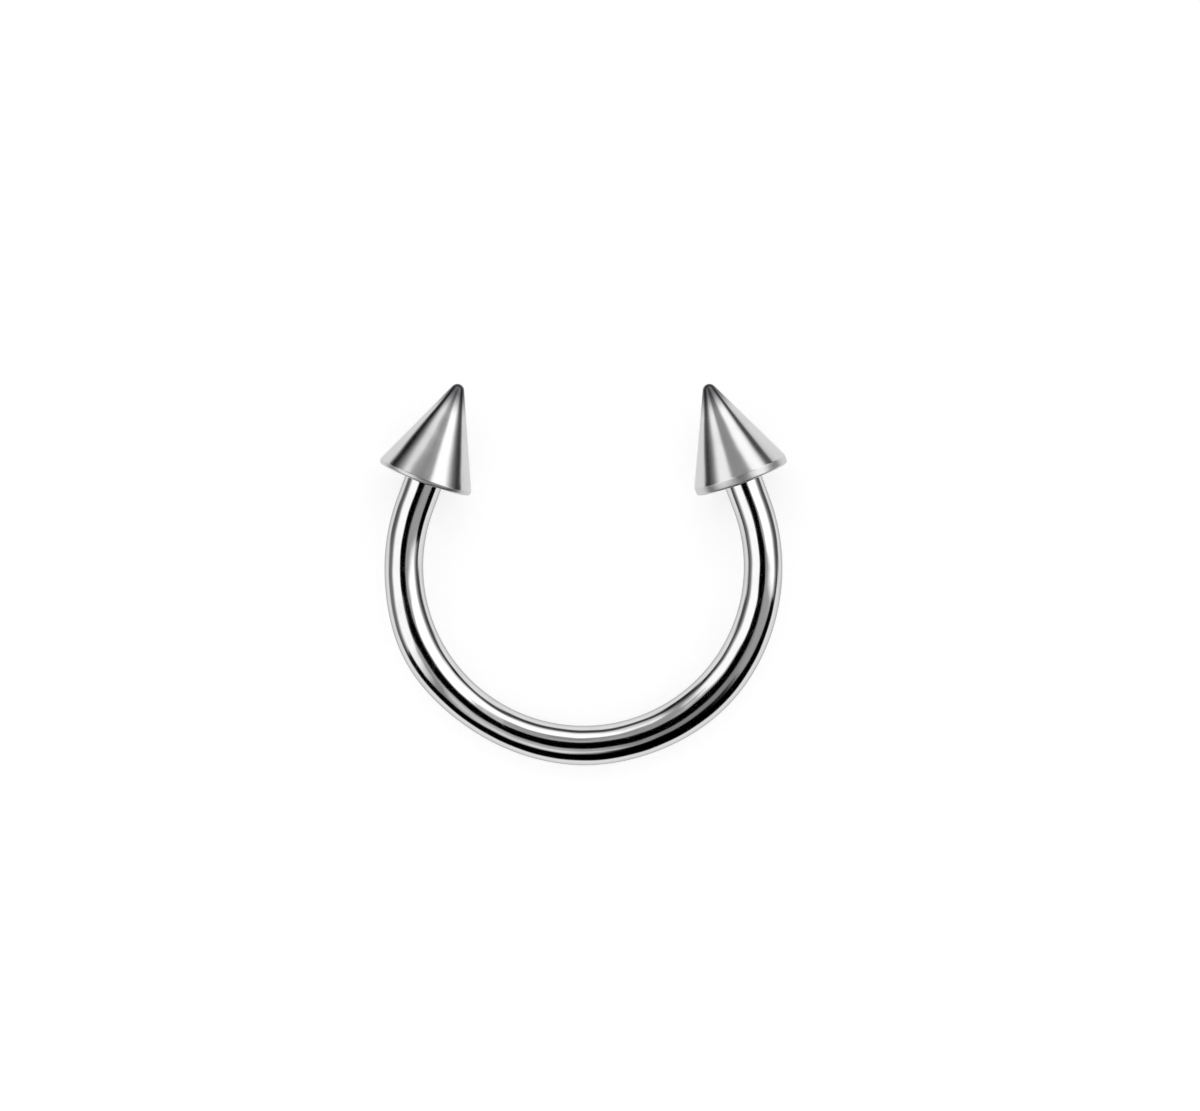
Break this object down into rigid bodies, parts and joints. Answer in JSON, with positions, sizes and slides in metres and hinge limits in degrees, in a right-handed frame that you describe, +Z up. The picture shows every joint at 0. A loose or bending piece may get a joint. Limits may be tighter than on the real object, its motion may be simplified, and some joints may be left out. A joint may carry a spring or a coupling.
{
  "type": "piercing ring",
  "caption": "Horseshoe body-jewellery ring of round polished steel wire with a screw-on cone spike on each end, lying on its side.",
  "frame": {"origin": "middle of the ring's outline seen from above, at the height of the surface that the ring lies on", "axes": "+X across the ring from the left spike to the right one, +Y from the closed bend to the open mouth and the spikes' tips, +Z up, away from the surface"},
  "size_m": [0.0126, 0.0118, 0.003],
  "materials": {
    "bar_steel": "mirror-polished surgical stainless steel, drawn and bent",
    "spike_steel": "mirror-polished surgical stainless steel, turned on a lathe"
  },
  "bodies": {
    "bar": {"horseshoe_bar": "bar_steel"},
    "left_spike": {"left_spike": "spike_steel"},
    "right_spike": {"right_spike": "spike_steel"}
  },
  "joints": [
    {"name": "unscrew_left_spike", "type": "slide", "parent": "bar", "child": "left_spike", "axis": [0.3502, 0.9314, 0.0992], "range_m": [0, 0.0015]},
    {"name": "unscrew_right_spike", "type": "slide", "parent": "bar", "child": "right_spike", "axis": [-0.3502, 0.9314, 0.0992], "range_m": [0, 0.0015]}
  ]
}
